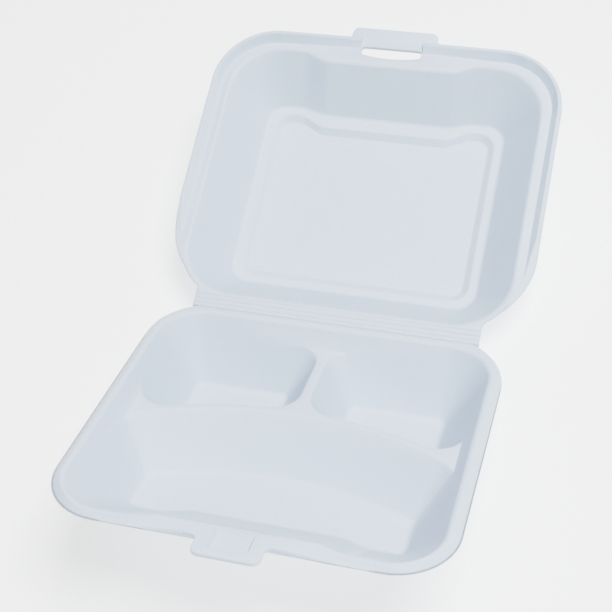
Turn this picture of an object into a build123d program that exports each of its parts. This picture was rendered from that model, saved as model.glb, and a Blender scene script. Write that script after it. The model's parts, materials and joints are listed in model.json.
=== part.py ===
from build123d import *
import math
import os

# Foam clamshell food container: one thermoformed sheet with a three-compartment tray,
# a living hinge and a lid with a raised panel.
# The sheet is drawn flat as it leaves the mould: fold line on X, tray towards -Y,
# lid towards +Y, rim tops at z = 0. It is then folded and laid down as it comes to rest.
# Sizes are in millimetres and degrees.

# Sheet and fold
sheet = 2.2
shut_gap = 0.3
open_angle = 144.4
strip_inset = 16.5
strip_corner_radius = 8.0
strip_reach = 22.0
groove_radius = 0.7
groove_depth = 0.45
groove_places = (-2.9, 1.6, 4.2, 6.8)
mitre_gap = 0.1

# Tray rim outline
tray_width = 190.0
tray_reach = 169.2
tray_front_radius = 30.0
tray_rear_radius = 38.0
tray_rear_overrun = 6.1
tray_lip_drop = 3.2
tray_lip_fade_start = 14.0
tray_lip_fade_length = 22.0
tab_edge_radius = 0.7

# Tray hollow
tray_depth = 33.0
tray_rim_side = 6.5
tray_rim_rear = 4.6
tray_rim_ear = 3.6
tray_rim_front = 7.6
tray_mouth_radius = 24.0
tray_floor_corner_radius = 4.0
tray_wall_draft = 33.0
tray_front_draft = 50.0
tray_mouth_round = 3.0
tray_floor_round = 5.0
bulge_start_share = 0.39
bulge_end_share = 0.526
bulge_radius = 12.0

# Dividers between the compartments
divider_drop = 9.5
divider_arc_radius = 185.0
divider_share = 0.39
divider_crest = 3.6
divider_front_draft = 43.5
divider_rear_draft = 33.0
short_crest = 4.6
divider_flare_radius = 15.0
divider_foot_radius = 6.0
divider_wall_overlap = 1.4
divider_crest_round = 1.6

# Tray closing tab with its finger shelf
tab_half_width = 15.7
tab_length = 11.0
tab_corner_radius = 4.0
tab_root_radius = 3.0
shelf_half_width = 8.2
shelf_reach = 5.4
shelf_drop = 2.8
shelf_corner_radius = 2.0
shelf_flare_radius = 2.5
shelf_wall_run = 1.2

# Lid rim outline: the lip stands outside the tray rim and fades towards the fold
lid_overhang = 6.0
lid_rear_radius = 45.0
lid_rear_place = 7.6
lip_height = 3.0
lip_slope_run = 3.4
lip_clearance = 0.4
lip_fade_length = 22.0
lip_fade_clearance = 9.4
lip_edge_radius = 1.0

# Lid hollow, ledge and raised panel
lid_depth = 25.0
lid_rim_side = 10.5
lid_rim_rear = 8.8
lid_rim_front = 16.3
lid_rim_ear = 10.8
lid_mouth_radius = 30.0
lid_mouth_round = 3.5
lid_side_run = 20.9
lid_rear_run = 18.1
lid_front_run = 21.8
lid_ear_run = 24.0
ledge_radius = 11.0
ledge_round = 3.0
panel_step = 3.0
panel_inset = 4.6
panel_step_run = 3.8
panel_front_inset = 3.2
panel_radius = 6.0
panel_round = 1.2

# Lid tab and slot
lid_tab_half = 24.4
lid_tab_root_half = 26.2
lid_tab_reach = 8.4
lid_tab_radius = 3.0
lip_break_half = 18.0
slot_half = 17.6
slot_middle_inset = 11.4
slot_end_inset = 9.4
slot_far_inset = 4.6
slot_corner_radius = 2.2

# Values worked out from the sizes above
wall_tan = math.tan(math.radians(tray_wall_draft))
wall_grow = sheet / math.cos(math.radians(tray_wall_draft))
tray_front_tan = math.tan(math.radians(tray_front_draft))
tray_front_grow = sheet / math.cos(math.radians(tray_front_draft))
divider_front_tan = math.tan(math.radians(divider_front_draft))
divider_front_grow = sheet / math.cos(math.radians(divider_front_draft))
divider_rear_tan = math.tan(math.radians(divider_rear_draft))
divider_rear_grow = sheet / math.cos(math.radians(divider_rear_draft))
tray_half = tray_width / 2
lid_half = tray_half + lid_overhang
lid_reach = tray_reach + lid_overhang
strip_half_width = tray_half - strip_inset
bulge_start = tray_half * bulge_start_share
bulge_end = tray_half * bulge_end_share
divider_place = tray_reach * divider_share
lid_mouth_half = lid_half - lid_rim_side
lid_mouth_front = lid_reach - lid_rim_front
lid_mouth_ear = lid_reach - lid_rim_ear
ledge_half = lid_mouth_half - lid_side_run
ledge_rear = lid_rim_rear + lid_rear_run
ledge_front = lid_mouth_front - lid_front_run
ledge_ear = lid_mouth_ear - lid_ear_run
slot_near = lid_reach - slot_middle_inset
slot_end_near = lid_reach - slot_end_inset
slot_far = lid_reach - slot_far_inset
lip_fade_end = lid_rear_place + lid_rear_radius + lip_fade_clearance
lip_fade_start = lip_fade_end - lip_fade_length
lip_run_per_height = lip_slope_run / lip_height
lip_grow = sheet * math.hypot(1.0, lip_run_per_height)
fold_height = shut_gap / 2
rest_fold = 180.0 - open_angle
far = 400.0
above = 30.0
lean_tolerance = 0.05
pick_tolerance = 0.001
pick_margin = 0.1
top_face_tilt = 0.5


def flat_face(points, radii, z):
    """Face at height z from a closed run of points with a rounding at each one."""
    border = FilletPolyline(*points, radius=radii, close=True)
    return Pos(0, 0, z) * make_face(border)


def bar(x_half, y_low, y_high, z_low, z_high):
    """Box that is centred on x and spans the given y and z."""
    size = Box(2 * x_half, y_high - y_low, z_high - z_low)
    return Pos(0, (y_low + y_high) / 2, (z_low + z_high) / 2) * size


def bulged_face(side, half, rear, front, ear, corner, ease, z):
    """Compartment outline: rounded corners, and a front edge that bulges at both ends.

    side is -1 for the tray and 1 for the lid; rear, front and ear are distances from the fold.
    """
    points = [
        (half, side * rear),
        (half, side * ear),
        (bulge_end, side * ear),
        (bulge_start, side * front),
        (-bulge_start, side * front),
        (-bulge_end, side * ear),
        (-half, side * ear),
        (-half, side * rear),
    ]
    radii = [corner, corner, ease, ease, ease, ease, corner, corner]
    return flat_face(points, radii, z)


def edges_at(shape, z):
    """Edges of a shape that lie level at height z."""
    found = []
    for edge in shape.edges():
        box = edge.bounding_box()
        if abs(box.min.Z - z) < pick_tolerance and abs(box.max.Z - z) < pick_tolerance:
            found.append(edge)
    return found


def edges_inside(shape, z, x_half, y_low, y_high):
    """Level edges at height z whose middle lies inside the given rectangle."""
    found = []
    for edge in edges_at(shape, z):
        middle = edge.center()
        if abs(middle.X) < x_half and y_low < middle.Y < y_high:
            found.append(edge)
    return found


def tray_outline(side, grow, z):
    """Tray rim outline, grown outwards; side is -1 in place and 1 mirrored onto the lid."""
    half = tray_half + grow
    points = [
        (half, -side * (tray_rear_overrun + grow)),
        (half, side * (tray_reach + grow)),
        (-half, side * (tray_reach + grow)),
        (-half, -side * (tray_rear_overrun + grow)),
    ]
    front = tray_front_radius + grow
    rear = tray_rear_radius + grow
    return flat_face(points, [rear, front, front, rear], z)


def tub(skin):
    """Tray hollow without dividers, or with skin its outer form."""
    def level(depth, corner, z):
        inset = depth * wall_tan - (wall_grow if skin else 0.0)
        front_inset = depth * tray_front_tan - (tray_front_grow if skin else 0.0)
        return bulged_face(-1, tray_half - tray_rim_side - inset, tray_rim_rear + inset,
                           tray_reach - tray_rim_front - front_inset,
                           tray_reach - tray_rim_ear - front_inset, corner, bulge_radius, z)

    depth = tray_depth + skin
    body = loft([level(0.0, tray_mouth_radius + skin, 0.0),
                 level(depth, tray_floor_corner_radius + skin, -depth)], ruled=True)
    body = fillet(edges_at(body, -depth), tray_floor_round + skin)
    if skin:
        return body
    body += bar(far, -far, far, 0.0, above)
    return fillet(edges_inside(body, 0.0, tray_half, -tray_reach, 0.0), tray_mouth_round)


def compartments(skin):
    """Everything above the divider crests, with the three compartments hanging below."""
    crest_level = divider_drop + skin
    floor_level = tray_depth + skin
    wall_skin = wall_grow if skin else 0.0
    front_skin = divider_front_grow if skin else 0.0
    rear_skin = divider_rear_grow if skin else 0.0

    def front_level(depth, corner):
        side = tray_half - tray_rim_side - depth * wall_tan + wall_skin + divider_wall_overlap
        sweep = divider_arc_radius - divider_crest / 2 + front_skin
        sweep -= (depth - divider_drop) * divider_front_tan
        shape = Pos(0, -tray_reach / 2) * Rectangle(2 * side, tray_reach)
        shape &= Pos(0, -divider_place - divider_arc_radius) * Circle(sweep)
        rear_corners = shape.vertices().sort_by(Axis.Y)[-2:]
        return Pos(0, 0, -depth) * fillet(rear_corners, corner)

    def rear_level(depth, corner):
        side = tray_half - tray_rim_side - depth * wall_tan + wall_skin + divider_wall_overlap
        rear = tray_rim_rear + depth * wall_tan - wall_skin - divider_wall_overlap
        inner = short_crest / 2 + (depth - divider_drop) * divider_rear_tan - rear_skin
        sweep = divider_arc_radius + divider_crest / 2 - rear_skin
        sweep += (depth - divider_drop) * divider_rear_tan
        shape = Pos((inner + side) / 2, -tray_reach / 2) * Rectangle(side - inner, tray_reach - 2 * rear)
        shape -= Pos(0, -divider_place - divider_arc_radius) * Circle(sweep)
        return Pos(0, 0, -depth) * fillet(shape.vertices(), corner)

    front = loft([front_level(crest_level, divider_flare_radius + skin),
                  front_level(floor_level, divider_foot_radius + skin)], ruled=True)
    rear = loft([rear_level(crest_level, divider_flare_radius + skin),
                 rear_level(floor_level, divider_foot_radius + skin)], ruled=True)
    hollows = []
    for hollow in (front, rear, mirror(rear, about=Plane.YZ)):
        hollows.append(fillet(edges_at(hollow, -floor_level), tray_floor_round + skin))
    form = bar(far, -far, far, -crest_level, above)
    for hollow in hollows:
        form += hollow
    if skin:
        return form
    crest_edges = edges_inside(form, -crest_level, tray_width, -far / 2, far / 2)
    return fillet(crest_edges, divider_crest_round)


def tray_rim():
    """Flat rim that rolls down into an outer lip, which fades out towards the fold."""
    rim = extrude(tray_outline(-1, 0.0, -tray_lip_drop), amount=tray_lip_drop)
    rim = fillet(edges_at(rim, 0.0), sheet)
    inside = extrude(tray_outline(-1, -sheet, -tray_lip_drop), amount=tray_lip_drop - sheet)
    rim -= inside
    fade_end = tray_lip_fade_start + tray_lip_fade_length
    below = make_face(Polyline((far, -sheet), (-tray_lip_fade_start, -sheet),
                               (-fade_end, -tray_lip_drop), (-fade_end, -above), (far, -above),
                               close=True))
    return rim - extrude(Plane.YZ * below, amount=far, both=True)


def tray_tab():
    """Flat closing tab on the tray's front edge, flared where it leaves the rim."""
    tip = tray_reach + tab_length
    root = tray_reach - tab_length
    points = [
        (tab_half_width + 2 * tab_root_radius, -root),
        (tab_half_width + 2 * tab_root_radius, -tray_reach),
        (tab_half_width, -tray_reach),
        (tab_half_width, -tip),
        (-tab_half_width, -tip),
        (-tab_half_width, -tray_reach),
        (-tab_half_width - 2 * tab_root_radius, -tray_reach),
        (-tab_half_width - 2 * tab_root_radius, -root),
    ]
    radii = [0, 0, tab_root_radius, tab_corner_radius, tab_corner_radius, tab_root_radius, 0, 0]
    tab = extrude(flat_face(points, radii, -sheet), amount=sheet)
    return fillet(edges_at(tab, 0.0) + edges_at(tab, -sheet), tab_edge_radius)


def finger_shelf(skin):
    """Sunken shelf from the tray's hollow into the tab, or with skin its outer form."""
    mouth = tray_reach - tray_rim_front
    tip = tray_reach + shelf_reach

    def level(grow, z):
        half = shelf_half_width + grow
        wide = half + 2 * shelf_flare_radius
        corner = shelf_corner_radius + grow
        points = [(wide, -mouth + tray_mouth_round), (wide, -mouth), (half, -mouth),
                  (half, -tip - grow), (-half, -tip - grow),
                  (-half, -mouth), (-wide, -mouth), (-wide, -mouth + tray_mouth_round)]
        radii = [0, 0, shelf_flare_radius, corner, corner, shelf_flare_radius, 0, 0]
        return flat_face(points, radii, z)

    return loft([level(skin, -shelf_drop - skin), level(skin + shelf_wall_run, 0.0)], ruled=True)


def strip_grooves():
    """Fine score lines along the hinge strip."""
    grooves = []
    for place in groove_places:
        line = Cylinder(groove_radius, tray_width, rotation=(0, 90, 0))
        grooves.append(Pos(0, place, groove_radius - groove_depth) * line)
    return grooves


def fold_wedge(side):
    """Space beyond the mitred fold face, so tray and lid meet face to face at rest."""
    slope = math.tan(math.radians(rest_fold / 2))
    low = -above
    shift = side * mitre_gap / 2
    wedge = make_face(Polyline((shift, fold_height), (shift + side * (low - fold_height) * slope, low),
                               (-side * far, low), (-side * far, fold_height), close=True))
    return extrude(Plane.YZ * wedge, amount=far, both=True)


def make_tray():
    """Tray with three compartments, rim, closing tab and its half of the hinge strip."""
    outer = tub(sheet) & compartments(sheet)
    outer += tray_rim()
    outer += tray_tab()
    outer += finger_shelf(sheet)
    tray = outer - (tub(0.0) & compartments(0.0))
    tray -= finger_shelf(0.0)
    for groove in strip_grooves():
        tray -= groove
    return tray - fold_wedge(-1)


def lid_outline(z):
    """Lid rim outline, which runs into the narrower hinge strip."""
    main = flat_face([(lid_half, lid_rear_place), (lid_half, lid_reach),
                      (-lid_half, lid_reach), (-lid_half, lid_rear_place)],
                     [lid_rear_radius, tray_front_radius + lid_overhang,
                      tray_front_radius + lid_overhang, lid_rear_radius], z)
    strip = Pos(0, strip_reach / 2 - tray_rear_overrun, z) * Rectangle(2 * strip_half_width,
                                                                      strip_reach + 2 * tray_rear_overrun)
    joined = main + strip
    corners = []
    for corner in joined.vertices():
        if abs(abs(corner.X) - strip_half_width) < pick_tolerance and corner.Y > 0:
            corners.append(corner)
    return fillet(corners, strip_corner_radius)


def lip_profile(drop):
    """Space under the lip's top, which rises from the rim away from the fold."""
    side = make_face(Polyline((-far, -above), (-far, -drop), (lip_fade_start, -drop),
                              (lip_fade_end, lip_height - drop), (far, lip_height - drop),
                              (far, -above), close=True))
    return extrude(Plane.YZ * side, amount=far, both=True)


def outer_top_edges(shape):
    """Edges around the top of a shape, without the creases that cross it along x."""
    found = []
    for face in shape.faces():
        if face.normal_at().Z < top_face_tilt:
            continue
        for edge in face.edges():
            box = edge.bounding_box()
            crease = box.size.Y < pick_tolerance and box.max.Y < lid_mouth_ear
            if not crease:
                found.append(edge)
    return found


def lid_rim():
    """Lid rim: flat land, then a sloped step up to a lip that passes outside the tray rim."""
    rim = extrude(lid_outline(-sheet), amount=sheet + lip_height) & lip_profile(0.0)
    rim = fillet(outer_top_edges(rim), lip_edge_radius)
    seat = loft([tray_outline(1, lip_clearance, 0.0),
                 tray_outline(1, lip_clearance + lip_slope_run, lip_height)], ruled=True)
    rim -= seat
    inner = lip_clearance + lip_grow - sheet * lip_run_per_height
    core = loft([tray_outline(1, inner, -sheet),
                 tray_outline(1, inner + lip_slope_run, lip_height - sheet)], ruled=True)
    hollow = lip_profile(sheet) & bar(far, -far, far, -sheet, lip_height - sheet)
    hollow -= core
    hollow -= bar(lid_tab_root_half, slot_near, far, -above, above)
    rim -= hollow
    return rim - bar(lip_break_half, slot_near - lip_slope_run, far, 0.0, above)


def lid_tab():
    """Lifting tab on the lid's free edge."""
    tip = lid_reach + lid_tab_reach
    points = [(lid_tab_root_half, slot_near), (lid_tab_root_half, lid_reach),
              (lid_tab_half, tip), (-lid_tab_half, tip),
              (-lid_tab_root_half, lid_reach), (-lid_tab_root_half, slot_near)]
    radii = [0, lid_tab_radius, lid_tab_radius, lid_tab_radius, lid_tab_radius, 0]
    tab = extrude(flat_face(points, radii, -sheet), amount=sheet)
    return fillet(edges_at(tab, 0.0) + edges_at(tab, -sheet), tab_edge_radius)


def lid_slot():
    """D-shaped slot for the tray's tab: straight towards the lid's edge, bowed towards the hollow."""
    border = Polyline((-slot_half, slot_end_near), (-slot_half, slot_far),
                      (slot_half, slot_far), (slot_half, slot_end_near))
    border += ThreePointArc((slot_half, slot_end_near), (0, slot_near), (-slot_half, slot_end_near))
    shape = make_face(border)
    shape = fillet(shape.vertices(), slot_corner_radius)
    return extrude(Pos(0, 0, -above) * shape, amount=2 * above)


def lid_hollow(skin):
    """Lid hollow down to the ledge and the sunken panel, or with skin its outer form."""
    slope = (lid_mouth_half - ledge_half) / lid_depth
    mouth_grow = skin * math.hypot(1.0, slope)
    ledge_grow = mouth_grow - skin * slope
    step_slope = panel_step_run / panel_step
    step_top_grow = skin * math.hypot(1.0, step_slope) - skin * step_slope

    def level(half, rear, front, ear, corner, grow, z):
        return bulged_face(1, half + grow, rear - grow, front + grow, ear + grow, corner + grow,
                           bulge_radius, z)

    ledge_z = -lid_depth - skin
    panel_z = ledge_z - panel_step
    body = loft([level(lid_mouth_half, lid_rim_rear, lid_mouth_front, lid_mouth_ear,
                       lid_mouth_radius, mouth_grow, 0.0),
                 level(ledge_half, ledge_rear, ledge_front, ledge_ear, ledge_radius,
                       ledge_grow, ledge_z)], ruled=True)
    body = fillet(edges_at(body, ledge_z), ledge_round + skin)
    front_inset = panel_inset + panel_front_inset
    run = panel_inset + panel_step_run
    panel = loft([level(ledge_half - panel_inset, ledge_rear + panel_inset, ledge_front - front_inset,
                        ledge_ear - panel_inset, panel_radius + panel_step_run, step_top_grow, ledge_z),
                  level(ledge_half - run, ledge_rear + run, ledge_front - front_inset - panel_step_run,
                        ledge_ear - run, panel_radius, step_top_grow, panel_z)], ruled=True)
    panel = fillet(edges_at(panel, panel_z), panel_round + skin)
    body += panel
    if skin:
        return body
    panel_half = ledge_half - panel_inset + pick_margin
    body = fillet(edges_inside(body, ledge_z, panel_half, 0.0, ledge_ear), panel_round)
    body += bar(far, -far, far, 0.0, above)
    body = fillet(edges_inside(body, 0.0, lid_half, 0.0, lid_reach), lid_mouth_round)
    return body & bar(far, -far, far, -far, 0.0)


def make_lid():
    """Lid with ledge and panel, lip, lifting tab, slot and its half of the hinge strip."""
    lid = lid_rim()
    lid += lid_tab()
    lid += lid_hollow(sheet)
    lid -= lid_hollow(0.0)
    lid -= lid_slot()
    for groove in strip_grooves():
        lid -= groove
    return lid - fold_wedge(1)


def fold_up(shape, angle):
    """Turn a shape about the fold line, from flat towards shut."""
    return Pos(0, 0, fold_height) * Rot(angle, 0, 0) * Pos(0, 0, -fold_height) * shape


def lowest(points, angle):
    """Lowest height of a set of points after a lean back by the given angle."""
    lean = math.radians(angle)
    return min(p.Z * math.cos(lean) - p.Y * math.sin(lean) for p in points)


def resting_lean(tray, lid):
    """Angle at which the tray's foot and the lid's back touch the same level surface."""
    foot = tray.tessellate(lean_tolerance)[0]
    back = lid.tessellate(lean_tolerance)[0]
    low, high = 0.0, rest_fold
    while high - low > lean_tolerance / far:
        middle = (low + high) / 2
        if lowest(foot, middle) < lowest(back, middle):
            low = middle
        else:
            high = middle
    return (low + high) / 2


def main():
    """Build the tray and the lid, fold and lay them down, and write them out."""
    tray = make_tray()
    lid = fold_up(make_lid(), rest_fold)
    lean = resting_lean(tray, lid)
    pose = Rot(-lean, 0, 0)
    box = Compound([pose * tray, pose * lid]).bounding_box()
    pose = Pos(-(box.min.X + box.max.X) / 2, -(box.min.Y + box.max.Y) / 2, -box.min.Z) * pose
    fold = (pose * Pos(0, 0, fold_height)).position
    print("lean", round(lean, 3), "fold line", [round(v, 3) for v in fold])
    os.makedirs("parts", exist_ok=True)
    export_step(pose * tray, "parts/tray.step")
    export_step(pose * lid, "parts/lid.step")


main()
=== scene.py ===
import json
import logging
import math
from dataclasses import dataclass, field
from enum import Enum
from typing import Any, Union

import bmesh
import bpy
from mathutils import Matrix, Vector
from mathutils.geometry import intersect_point_line


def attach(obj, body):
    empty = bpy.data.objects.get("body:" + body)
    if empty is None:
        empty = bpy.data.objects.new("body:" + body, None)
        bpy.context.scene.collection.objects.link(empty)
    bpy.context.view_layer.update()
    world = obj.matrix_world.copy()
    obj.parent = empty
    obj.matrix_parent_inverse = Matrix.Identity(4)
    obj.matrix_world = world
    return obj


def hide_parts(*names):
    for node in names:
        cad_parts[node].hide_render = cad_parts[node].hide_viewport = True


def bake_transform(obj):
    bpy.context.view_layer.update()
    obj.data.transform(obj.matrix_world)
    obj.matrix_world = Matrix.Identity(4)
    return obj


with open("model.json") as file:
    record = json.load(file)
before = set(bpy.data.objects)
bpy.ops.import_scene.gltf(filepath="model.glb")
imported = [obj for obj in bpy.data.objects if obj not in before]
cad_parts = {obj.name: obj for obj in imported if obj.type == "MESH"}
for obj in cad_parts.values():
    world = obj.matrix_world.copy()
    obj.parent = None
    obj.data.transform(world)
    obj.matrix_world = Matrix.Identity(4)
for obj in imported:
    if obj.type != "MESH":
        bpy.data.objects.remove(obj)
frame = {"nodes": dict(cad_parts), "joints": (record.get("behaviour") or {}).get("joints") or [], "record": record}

LOG = logging.getLogger("clamshell")
MM = 0.001
SENSOR_MM = 36.0
# name of the vertex attribute that holds the painted shade of steep walls
PAINTED_WALL_SHADE = "painted_wall_shade"
FOLD_HEIGHT = 0.15
SHARP_ANGLE = math.radians(32.0)
MIX_FIRST, MIX_SECOND, MIX_COLOUR = 6, 7, 2
UP = Vector((0, 0, 1))
Colour = tuple[float, float, float, float]
Point = tuple[float, float, float]

Value = Union["Socket", float, int]


class Body(Enum):
    """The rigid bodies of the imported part."""

    TRAY = "base"
    LID = "lid"


class Socket:
    """A shader output that takes part in Python expressions, each adding a Math node."""

    def __init__(self, tree: bpy.types.NodeTree, output: bpy.types.NodeSocket) -> None:
        """Keep the tree and the output.

        Args:
            tree: node tree that new nodes go into.
            output: socket that this object stands for.
        """
        self.tree = tree
        self.output = output

    def _math(self, operation: str, first: Value, second: Value) -> "Socket":
        """Add one Math node.

        Args:
            operation: Blender's name of the operation.
            first: left value or socket.
            second: right value or socket.

        Returns:
            The node's output.
        """
        node = self.tree.nodes.new("ShaderNodeMath")
        node.operation = operation
        for slot, value in zip(node.inputs, (first, second)):
            if isinstance(value, Socket):
                self.tree.links.new(value.output, slot)
            else:
                slot.default_value = float(value)
        return Socket(self.tree, node.outputs[0])

    def __add__(self, other: Value) -> "Socket":
        """Sum.

        Args:
            other: the expression's other value.

        Returns:
            Output of the Math node.
        """
        return self._math("ADD", self, other)

    def __radd__(self, other: Value) -> "Socket":
        """Sum with a plain number first.

        Args:
            other: the expression's other value.

        Returns:
            Output of the Math node.
        """
        return self._math("ADD", other, self)

    def __sub__(self, other: Value) -> "Socket":
        """Difference.

        Args:
            other: the expression's other value.

        Returns:
            Output of the Math node.
        """
        return self._math("SUBTRACT", self, other)

    def __rsub__(self, other: Value) -> "Socket":
        """Difference with a plain number first.

        Args:
            other: the expression's other value.

        Returns:
            Output of the Math node.
        """
        return self._math("SUBTRACT", other, self)

    def __mul__(self, other: Value) -> "Socket":
        """Product.

        Args:
            other: the expression's other value.

        Returns:
            Output of the Math node.
        """
        return self._math("MULTIPLY", self, other)

    def __rmul__(self, other: Value) -> "Socket":
        """Product with a plain number first.

        Args:
            other: the expression's other value.

        Returns:
            Output of the Math node.
        """
        return self._math("MULTIPLY", other, self)


class ShaderSheet:
    """One material's node tree, with a single method that adds any node."""

    def __init__(self, name: str) -> None:
        """Start an empty node material.

        Args:
            name: material name.
        """
        self.material = bpy.data.materials.new(name)
        self.material.use_nodes = True
        self.tree = self.material.node_tree
        self.tree.nodes.clear()

    def node(self, kind: str, settings: dict[str, Any], sockets: dict[Union[str, int], Any],
             output: Union[str, int] = 0) -> Socket:
        """Add a node.

        Args:
            kind: Blender's node type.
            settings: attributes that are set before the sockets.
            sockets: values or links by input name or index.
            output: name or index of the wanted output.

        Returns:
            The wanted output.
        """
        made = self.tree.nodes.new(kind)
        for key, value in settings.items():
            setattr(made, key, value)
        for key, value in sockets.items():
            slot = made.inputs[key]
            if isinstance(value, Socket):
                self.tree.links.new(value.output, slot)
            else:
                slot.default_value = value
        return Socket(self.tree, made.outputs[output])

    def finish(self, surface: Socket) -> bpy.types.Material:
        """Join the surface to the material's output.

        Args:
            surface: shader to show.

        Returns:
            The finished material.
        """
        target = self.tree.nodes.new("ShaderNodeOutputMaterial")
        self.tree.links.new(surface.output, target.inputs["Surface"])
        return self.material


@dataclass(frozen=True)
class FoamFinish:
    """White expanded foam: pressed skin with faint cells and soft mottling, with painted shade that darkens steep
    walls.
    """

    name: str = "pressed_foam"
    pale: Colour = (0.60, 0.70, 0.82, 1.0)
    cool: Colour = (0.545, 0.645, 0.77, 1.0)
    # darker colour of the painted shade on steep walls
    wall_shade_colour: Colour = (0.44, 0.54, 0.68, 1.0)
    wall_shade_share: float = 0.75
    roughness: float = 0.52
    roughness_swing: float = 0.14
    mottle_scale: float = 38.0
    mottle_detail: float = 4.0
    mottle_roughness: float = 0.55
    mottle_middle: float = 0.5
    mottle_tint: float = 0.5
    mottle_height: float = 1.5
    cell_scale: float = 750.0
    cell_tint: float = 0.7
    cell_height: float = 0.6
    grain_scale: float = 2300.0
    grain_detail: float = 2.0
    grain_height: float = 0.4
    edge_round_m: float = 0.9 * MM
    edge_samples: int = 6
    bump_depth_m: float = 0.05 * MM
    bump_strength: float = 0.5
    specular: float = 0.3
    scatter: float = 0.12
    scatter_depth_m: float = 2.0 * MM
    scatter_radius: Point = (1.0, 1.0, 1.0)

    def build(self) -> bpy.types.Material:
        """Make the material.

        Returns:
            The node material.
        """
        sheet = ShaderSheet(self.name)
        place = sheet.node("ShaderNodeTexCoord", {}, {}, "Object")
        mottle = sheet.node("ShaderNodeTexNoise", {}, {
            "Vector": place, "Scale": self.mottle_scale, "Detail": self.mottle_detail,
            "Roughness": self.mottle_roughness})
        cells = sheet.node("ShaderNodeTexVoronoi", {"feature": "F1"}, {
            "Vector": place, "Scale": self.cell_scale}, "Distance")
        grain = sheet.node("ShaderNodeTexNoise", {}, {
            "Vector": place, "Scale": self.grain_scale, "Detail": self.grain_detail})
        shade = mottle * self.mottle_tint + cells * self.cell_tint
        pressed = sheet.node("ShaderNodeMix", {"data_type": "RGBA"}, {
            "Factor": shade, MIX_FIRST: self.pale, MIX_SECOND: self.cool}, MIX_COLOUR)
        # painted shade: steep walls are mixed towards the darker colour, standing in for the shade that falls on
        # them
        steep = sheet.node("ShaderNodeAttribute", {"attribute_name": PAINTED_WALL_SHADE}, {}, "Fac")
        colour = sheet.node("ShaderNodeMix", {"data_type": "RGBA"}, {
            "Factor": steep * self.wall_shade_share, MIX_FIRST: pressed, MIX_SECOND: self.wall_shade_colour},
            MIX_COLOUR)
        height = cells * self.cell_height + grain * self.grain_height + mottle * self.mottle_height
        rounded = sheet.node("ShaderNodeBevel", {"samples": self.edge_samples}, {
            "Radius": self.edge_round_m})
        normal = sheet.node("ShaderNodeBump", {}, {
            "Strength": self.bump_strength, "Distance": self.bump_depth_m, "Height": height,
            "Normal": rounded})
        gloss = self.roughness + (mottle - self.mottle_middle) * self.roughness_swing
        skin = sheet.node("ShaderNodeBsdfPrincipled", {}, {
            "Base Color": colour, "Roughness": gloss, "Normal": normal,
            "Specular IOR Level": self.specular, "Subsurface Weight": self.scatter,
            "Subsurface Scale": self.scatter_depth_m, "Subsurface Radius": self.scatter_radius})
        return sheet.finish(skin)


@dataclass(frozen=True)
class FloorFinish:
    """Plain pale studio floor."""

    name: str = "studio_floor"
    colour: Colour = (0.96, 0.92, 0.88, 1.0)
    roughness: float = 0.85
    specular: float = 0.2
    glow_colour: Colour = (1.0, 1.0, 1.0, 1.0)
    glow: float = 2.2

    def build(self) -> bpy.types.Material:
        """Make the material.

        Returns:
            The node material.
        """
        sheet = ShaderSheet(self.name)
        skin = sheet.node("ShaderNodeBsdfPrincipled", {}, {
            "Base Color": self.colour, "Roughness": self.roughness,
            "Specular IOR Level": self.specular, "Emission Color": self.glow_colour,
            "Emission Strength": self.glow})
        return sheet.finish(skin)


@dataclass
class FoldFrame:
    """Where the fold line lies, and how tray and lid are turned there at rest."""

    fold: Vector = field(init=False)
    lean: float = field(init=False)
    lid_rise: float = field(init=False)

    def __post_init__(self) -> None:
        """Read the fold and the tray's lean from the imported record."""
        joint = frame["joints"][0]
        down = Vector(frame["record"]["mounts"][0]["axis"])
        self.fold = Vector(joint["pos_m"])
        self.lean = math.atan2(-down.y, -down.z)
        self.lid_rise = math.radians(180.0 - joint["range_deg"][1]) - self.lean

    def tray_turn(self) -> Matrix:
        """Rotation from the tray's own axes to the resting frame.

        Returns:
            The rotation.
        """
        return Matrix.Rotation(-self.lean, 4, "X")

    def lid_turn(self) -> Matrix:
        """Rotation from the lid's own axes to the resting frame.

        Returns:
            The rotation.
        """
        return Matrix.Rotation(self.lid_rise, 4, "X")

    def tray_point(self, x: float, y: float, z: float) -> Vector:
        """Point of the resting frame, given from the fold in the tray's axes.

        Args:
            x: millimetres along the fold.
            y: millimetres across the fold.
            z: millimetres over the rim's plane.

        Returns:
            The point in metres.
        """
        return self.fold + self.tray_turn() @ (Vector((x, y, z)) * MM)

    def lid_point(self, x: float, y: float, z: float) -> Vector:
        """Point of the resting frame, given from the fold in the lid's axes.

        Args:
            x: millimetres along the fold.
            y: millimetres across the fold.
            z: millimetres over the rim's plane.

        Returns:
            The point in metres.
        """
        return self.fold + self.lid_turn() @ (Vector((x, y, z)) * MM)


def ramp(value: float, low: float, high: float) -> float:
    """Smooth step from 0 at low to 1 at high.

    Args:
        value: place on the ramp.
        low: start of the ramp.
        high: end of the ramp.

    Returns:
        Share of the way, eased at both ends.
    """
    share = min(max((value - low) / (high - low), 0.0), 1.0)
    return share * share * (3.0 - 2.0 * share)


def as_object(name: str, shape: bmesh.types.BMesh, finish: bpy.types.Material) -> bpy.types.Object:
    """Turn a finished bmesh into an object of the scene.

    Args:
        name: name of the object and its mesh.
        shape: finished bmesh, which is freed.
        finish: material of all its faces.

    Returns:
        The object.
    """
    mesh = bpy.data.meshes.new(name)
    shape.to_mesh(mesh)
    shape.free()
    mesh.materials.append(finish)
    made = bpy.data.objects.new(name, mesh)
    bpy.context.scene.collection.objects.link(made)
    return made


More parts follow.
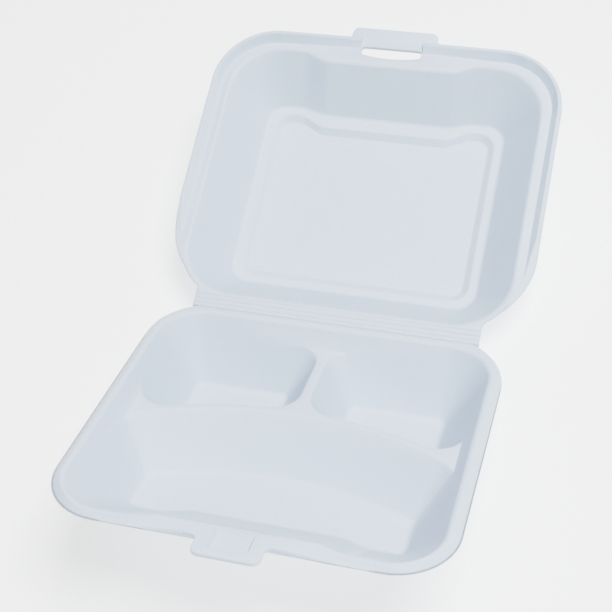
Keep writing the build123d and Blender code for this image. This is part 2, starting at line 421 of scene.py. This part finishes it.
@dataclass(frozen=True)
class RimFall:
    """A rim that falls away outside the mouth's ridge, along the tray's outline.

    Lengths are in millimetres. Side is -1 for the tray and 1 for the lid, whose outline is the
    tray's own turned over at the fold.
    """

    fold: Vector
    turn: Matrix
    side: float = -1.0
    half_width: float = 95.0
    reach: float = 169.2
    overrun: float = 6.1
    front_radius: float = 30.0
    rear_radius: float = 38.0
    roll_radius: float = 2.2
    roll_share: float = 0.97
    lip_drop: float = 3.2
    lip_rise: float = 3.0
    clearance: float = 0.0
    band: float = 4.6
    slope: float = 0.8
    tab_half: float = 22.0
    tab_ease: float = 8.0
    fade_start: float = 14.0
    fade_end: float = 36.0
    merge: float = 0.05
    zip_rounds: int = 2

    def inset(self, x: float, y: float) -> float:
        """Distance of a point inside the rim's outline.

        Args:
            x: place along the fold, in millimetres.
            y: place across the fold, negative on the tray.

        Returns:
            Distance in millimetres, negative outside.
        """
        middle = (self.overrun - self.reach) / 2
        radius = self.front_radius if y < middle else self.rear_radius
        aside = abs(x) - self.half_width + radius
        ahead = abs(y - middle) - (self.reach + self.overrun) / 2 + radius
        outside = math.hypot(max(aside, 0.0), max(ahead, 0.0))
        return radius - outside - min(max(aside, ahead), 0.0)

    def height(self, x: float, y: float, z: float) -> float:
        """New height of a point of the rim.

        Args:
            x: place along the fold, in millimetres.
            y: place across the fold.
            z: height over the rim's top plane.

        Returns:
            Height after the rim is sloped.
        """
        inset = max(self.inset(x, y), -self.clearance)
        if not -self.lip_drop <= z <= self.lip_rise or inset >= self.band:
            return z
        share = ramp(-y, self.fade_start, self.fade_end)
        if y < -self.reach / 2:
            share = ramp(abs(x), self.tab_half, self.tab_half + self.tab_ease)
        edge = z / self.lip_drop if z < 0.0 else -z / self.lip_rise
        return z - share * self.slope * (self.band - inset) * (1.0 + edge)

    def flat(self, point: Vector) -> Vector:
        """Place of a point over the rim's top plane, in millimetres, with the fold ahead.

        Args:
            point: place in the resting frame.

        Returns:
            Place along the fold, across it and over the plane.
        """
        own = self.turn.inverted() @ (point - self.fold) / MM
        return Vector((own.x, -self.side * own.y, own.z + FOLD_HEIGHT))

    def lower(self, shape: bmesh.types.BMesh) -> None:
        """Slope the rim.

        Args:
            shape: welded mesh of the tray or the lid.
        """
        for vert in shape.verts:
            flat = self.flat(vert.co)
            fall = self.height(*flat) - flat.z
            vert.co += self.turn @ Vector((0, 0, fall * MM))

    def rolled(self, point: Vector) -> bool:
        """Whether a point lies on the rolled edge of the rim, away from the tab.

        Args:
            point: place in the resting frame.

        Returns:
            True on the roll.
        """
        x, y, z = self.flat(point)
        return (abs(x) > self.tab_half and z > -self.roll_radius
                and 0.0 < self.inset(x, y) < self.roll_radius * self.roll_share)

    def sink_ridge(self, shape: bmesh.types.BMesh) -> None:
        """Move the hollow's outer edge, where it stands out of the roll, down onto the roll.

        Args:
            shape: welded mesh of the tray.
        """
        roll = {vert for vert in shape.verts if self.rolled(vert.co)}
        ridge = [vert for vert in shape.verts
                 if vert in roll and self.flat(vert.co).z > -self.merge]
        roll.difference_update(ridge)
        wall = [face for vert in ridge for face in vert.link_faces if roll.intersection(face.verts)]
        foot = [edge for face in wall for edge in face.edges if roll.issuperset(edge.verts)]
        goals = [min((self.nearest(vert.co, edge) for edge in foot),
                     key=lambda spot: (spot - vert.co).length) for vert in ridge]
        for vert, goal in zip(ridge, goals):
            if (goal - vert.co).length < self.roll_radius / 2 * MM:
                vert.co = goal
        for _ in range(self.zip_rounds):
            strip = [edge for edge in shape.edges if all(self.rolled(vert.co) for vert in edge.verts)]
            bmesh.ops.dissolve_degenerate(shape, edges=strip, dist=self.merge * MM)

    @staticmethod
    def nearest(point: Vector, edge: bmesh.types.BMEdge) -> Vector:
        """Nearest place on an edge.

        Args:
            point: place to start from.
            edge: edge to reach.

        Returns:
            Place on the edge.
        """
        start, end = (vert.co for vert in edge.verts)
        share = intersect_point_line(point, start, end)[1]
        return start.lerp(end, min(max(share, 0.0), 1.0))


@dataclass
class FoamShell:
    """One half of the container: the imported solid, welded, smoothed and dressed in foam."""

    node: str
    body: Body
    finish: bpy.types.Material
    rim: RimFall
    weld: float = 0.002
    # steepness at which the painted wall shade is full
    steep: float = 0.45

    def build(self) -> bpy.types.Object:
        """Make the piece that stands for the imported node.

        Returns:
            The finished object.
        """
        shape = bmesh.new()
        shape.from_mesh(frame["nodes"][self.node].data)
        bmesh.ops.remove_doubles(shape, verts=shape.verts, dist=self.weld * MM)
        if self.body is Body.TRAY:
            self.rim.sink_ridge(shape)
        self.rim.lower(shape)
        for face in shape.faces:
            face.smooth = True
            face.material_index = 0
        for edge in shape.edges:
            edge.smooth = edge.is_manifold and edge.calc_face_angle() < SHARP_ANGLE
        shape.normal_update()
        # painted shade: a share from 0 on flat faces to 1 on steep walls, stored for the foam colour
        up = self.rim.turn @ UP
        painted_wall_shade = shape.verts.layers.float.new(PAINTED_WALL_SHADE)
        for vert in shape.verts:
            vert[painted_wall_shade] = ramp(1.0 - abs(vert.normal.dot(up)), 0.0, self.steep)
        piece = as_object(f"{self.node}_shell", shape, self.finish)
        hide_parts(self.node)
        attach(piece, self.body.value)
        return piece


@dataclass
class HingeSkin:
    """Thin skin of the living hinge, wrapped under the fold from tray to lid."""

    place: FoldFrame
    finish: bpy.types.Material
    half_width: float = 77.6
    depth: float = 2.3
    reach: float = 4.5
    thickness: float = 0.35
    edge_round: float = 0.12
    bend_reach: float = 1.2
    steps: int = 14

    def build(self) -> bpy.types.Object:
        """Make the skin, shaped around the fold from tray to lid.

        Returns:
            The finished object.
        """
        shape = bmesh.new()
        corner = self.place.tray_point(-self.half_width, -self.reach, -self.depth)
        across = Vector((2 * self.half_width * MM, 0, 0))
        edge = shape.edges.new((shape.verts.new(corner), shape.verts.new(corner + across)))
        leading = self.sweep(shape, [edge], self.place.tray_turn() @ Vector((0, self.reach * MM, 0)))
        turned = bmesh.ops.spin(shape, geom=leading, cent=self.place.fold, axis=(1, 0, 0),
                                angle=self.place.lean + self.place.lid_rise, steps=self.steps)
        leading = [part for part in turned["geom_last"] if isinstance(part, bmesh.types.BMEdge)]
        self.sweep(shape, leading, self.place.lid_turn() @ Vector((0, self.reach * MM, 0)))
        bmesh.ops.solidify(shape, geom=shape.faces[:], thickness=self.thickness * MM)
        bmesh.ops.recalc_face_normals(shape, faces=shape.faces[:])
        sharp = [e for e in shape.edges if e.calc_face_angle(0.0) > SHARP_ANGLE]
        bmesh.ops.bevel(shape, geom=sharp, offset=self.edge_round * MM, affect="EDGES", segments=2,
                        profile=0.5, material=-1)
        for face in shape.faces:
            face.smooth = True
        piece = as_object("hinge_skin", shape, self.finish)
        tuple(self.place.tray_point(0, -self.bend_reach, -self.depth))
        tuple(self.place.lid_point(0, self.bend_reach, -self.depth))
        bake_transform(piece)
        return piece

    @staticmethod
    def sweep(shape: bmesh.types.BMesh, edges: list[Any], shift: Vector) -> list[Any]:
        """Extrude the leading edge.

        Args:
            shape: mesh in the making.
            edges: leading edges.
            shift: way to move.

        Returns:
            The new leading edges.
        """
        made = bmesh.ops.extrude_edge_only(shape, edges=edges)["geom"]
        points = [part for part in made if isinstance(part, bmesh.types.BMVert)]
        bmesh.ops.translate(shape, vec=shift, verts=points)
        return [part for part in made if isinstance(part, bmesh.types.BMEdge)]


@dataclass
class Studio:
    """Pale floor, soft lights and the photograph's camera."""

    place: FoldFrame
    floor_half: float = 12.0
    eye: Point = (148.0, -551.0, 387.5)
    ahead: Point = (-0.2355, 0.8012, -0.5502)
    roll: float = math.radians(-1.27)
    focal: float = 2.124
    near_clip: float = 0.01
    sky_colour: Colour = (0.90, 0.95, 1.0, 1.0)
    sky_strength: float = 0.06
    lamp_colour: Point = (0.89, 0.95, 1.0)
    key_spot: Point = (0.45, 0.0, 1.46)
    key_size: float = 0.7
    key_power: float = 91.0
    fill_spot: Point = (-0.3, -0.9, 1.2)
    fill_size: float = 0.8
    fill_power: float = 1.5

    def build(self) -> None:
        """Make the floor, the lights and the camera."""
        self.floor()
        self.lights()
        self.camera()

    def floor(self) -> None:
        """Make the floor."""
        shape = bmesh.new()
        bmesh.ops.create_grid(shape, x_segments=1, y_segments=1, size=self.floor_half)
        as_object("floor", shape, FloorFinish().build())

    def lights(self) -> None:
        """Make the sky light and the soft lamps."""
        world = bpy.data.worlds.new("studio")
        world.use_nodes = True
        sky = world.node_tree.nodes["Background"]
        sky.inputs["Color"].default_value = self.sky_colour
        sky.inputs["Strength"].default_value = self.sky_strength
        bpy.context.scene.world = world
        self.lamp("key", self.key_spot, self.key_size, self.key_power)
        self.lamp("fill", self.fill_spot, self.fill_size, self.fill_power)

    def lamp(self, name: str, spot: Point, size: float, power: float) -> None:
        """Make one square area lamp aimed at the object.

        Args:
            name: lamp name.
            spot: place in metres.
            size: side in metres.
            power: watts.
        """
        data = bpy.data.lights.new(name, "AREA")
        data.size = size
        data.energy = power
        data.color = self.lamp_colour
        lamp = bpy.data.objects.new(name, data)
        lamp.location = spot
        lamp.rotation_euler = (-Vector(spot)).to_track_quat("-Z", "Y").to_euler()
        bpy.context.scene.collection.objects.link(lamp)

    def camera(self) -> None:
        """Make the camera at the photograph's angle, given in the tray's own axes."""
        ahead = Vector(self.ahead).normalized()
        right = ahead.cross(UP).normalized()
        up = right.cross(ahead)
        turned = right * math.cos(self.roll) + up * math.sin(self.roll)
        up = up * math.cos(self.roll) - right * math.sin(self.roll)
        axes = Matrix((turned, up, -ahead)).transposed().to_4x4()
        data = bpy.data.cameras.new("photo_camera")
        data.sensor_width = SENSOR_MM
        data.lens = self.focal * SENSOR_MM
        data.clip_start = self.near_clip
        camera = bpy.data.objects.new("photo_camera", data)
        spot = self.place.tray_point(*self.eye)
        camera.matrix_world = Matrix.Translation(spot) @ self.place.tray_turn() @ axes
        bpy.context.scene.collection.objects.link(camera)
        bpy.context.scene.camera = camera


def main() -> None:
    """Build the pieces in order and report each one."""
    logging.basicConfig(level=logging.INFO)
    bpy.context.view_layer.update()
    place = FoldFrame()
    foam = FoamFinish().build()
    tray_rim = RimFall(place.fold, place.tray_turn())
    lid_rim = RimFall(place.fold, place.lid_turn(), side=1.0, lip_drop=5.0, clearance=0.4, band=4.2,
                      slope=0.5, tab_half=20.0, fade_start=29.0, fade_end=51.0)
    shells = [FoamShell("tray", Body.TRAY, foam, tray_rim), FoamShell("lid", Body.LID, foam, lid_rim)]
    for shell in shells:
        piece = shell.build()
        LOG.info("%s: %d faces", piece.name, len(piece.data.polygons))
    skin = HingeSkin(place, foam).build()
    LOG.info("%s: %d faces", skin.name, len(skin.data.polygons))
    Studio(place).build()


if __name__ == "__main__":
    main()
